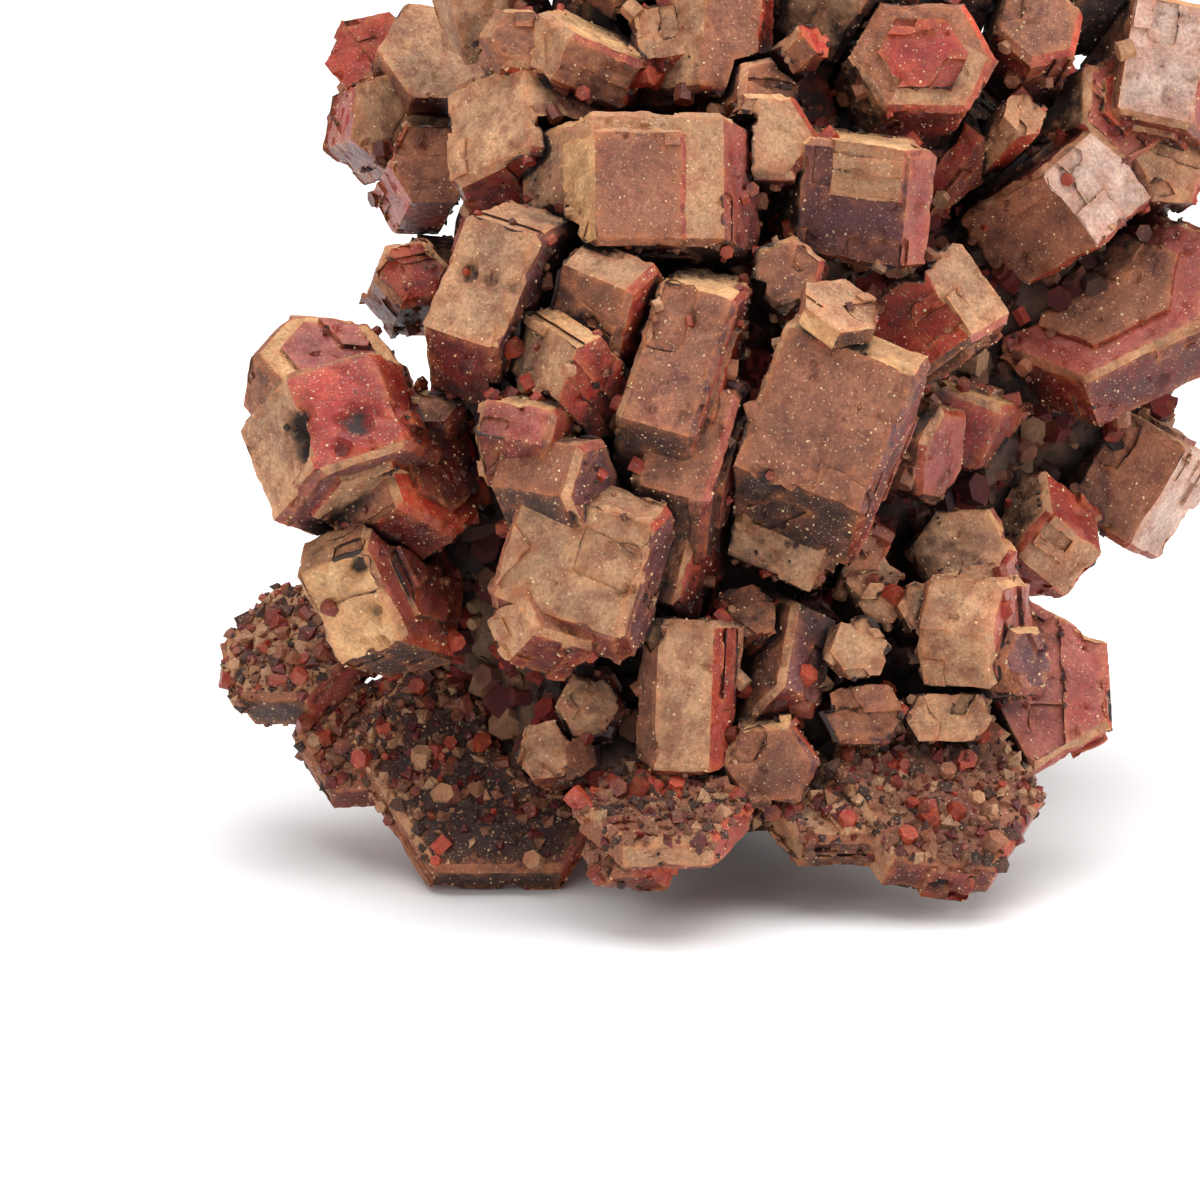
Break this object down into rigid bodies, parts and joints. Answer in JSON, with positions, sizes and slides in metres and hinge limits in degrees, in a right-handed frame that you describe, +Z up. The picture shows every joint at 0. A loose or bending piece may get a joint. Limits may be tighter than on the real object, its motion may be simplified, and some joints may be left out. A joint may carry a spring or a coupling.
{
  "type": "vanadinite on matrix",
  "caption": "Mineral specimen of intergrown six-sided vanadinite crystals, tan over red, on a lump of brown matrix rock that rests on its flat underside.",
  "frame": {"origin": "middle of the flat underside of the matrix rock", "axes": "+Z up from the underside, -Y towards the side shown in the picture, +X to its right"},
  "size_m": [0.0543, 0.0447, 0.0499],
  "materials": {
    "matrix_rock": "rough brown rock with iron-stained dust",
    "tan_crystal": "matte tan coating over red crystal, dusty",
    "red_crystal": "red-brown crystal with a slight resin gloss",
    "brown_crystal": "matte brown coating, pitted and dirty",
    "pale_crystal": "pinkish red crystal with pale end faces"
  },
  "bodies": {
    "root": {"matrix": "matrix_rock", "front_stack": "tan_crystal", "left_block": "tan_crystal", "left_cluster_1": "red_crystal", "left_cluster_2": "red_crystal", "low_left_crystal": "tan_crystal", "barrel_crystal": "brown_crystal", "upper_right_crystal": "brown_crystal", "right_column_1": "tan_crystal", "right_column_2": "tan_crystal", "right_column_3": "tan_crystal", "right_column_4": "tan_crystal", "front_foot_plate": "brown_crystal", "right_foot_plate": "brown_crystal", "left_foot_plates": "brown_crystal", "front_prisms_1": "tan_crystal", "front_prisms_2": "tan_crystal", "low_right_blocks_1": "tan_crystal", "low_right_blocks_2": "tan_crystal", "far_right_plate": "pale_crystal", "top_crystals_1": "red_crystal", "top_crystals_2": "red_crystal", "top_crystals_3": "red_crystal", "crest_crystals": "tan_crystal", "right_crystals_1": "pale_crystal", "right_crystals_2": "pale_crystal", "right_crystals_3": "pale_crystal", "right_crystals_4": "pale_crystal", "right_crystals_5": "pale_crystal", "far_left_crystals": "red_crystal", "crown_crystals_1": "red_crystal", "crown_crystals_2": "red_crystal", "crown_crystals_3": "red_crystal", "crown_crystals_4": "red_crystal", "crown_crystals_5": "red_crystal", "crown_crystals_6": "red_crystal", "crown_crystals_7": "red_crystal", "left_side_crystals": "red_crystal"}
  },
  "joints": []
}
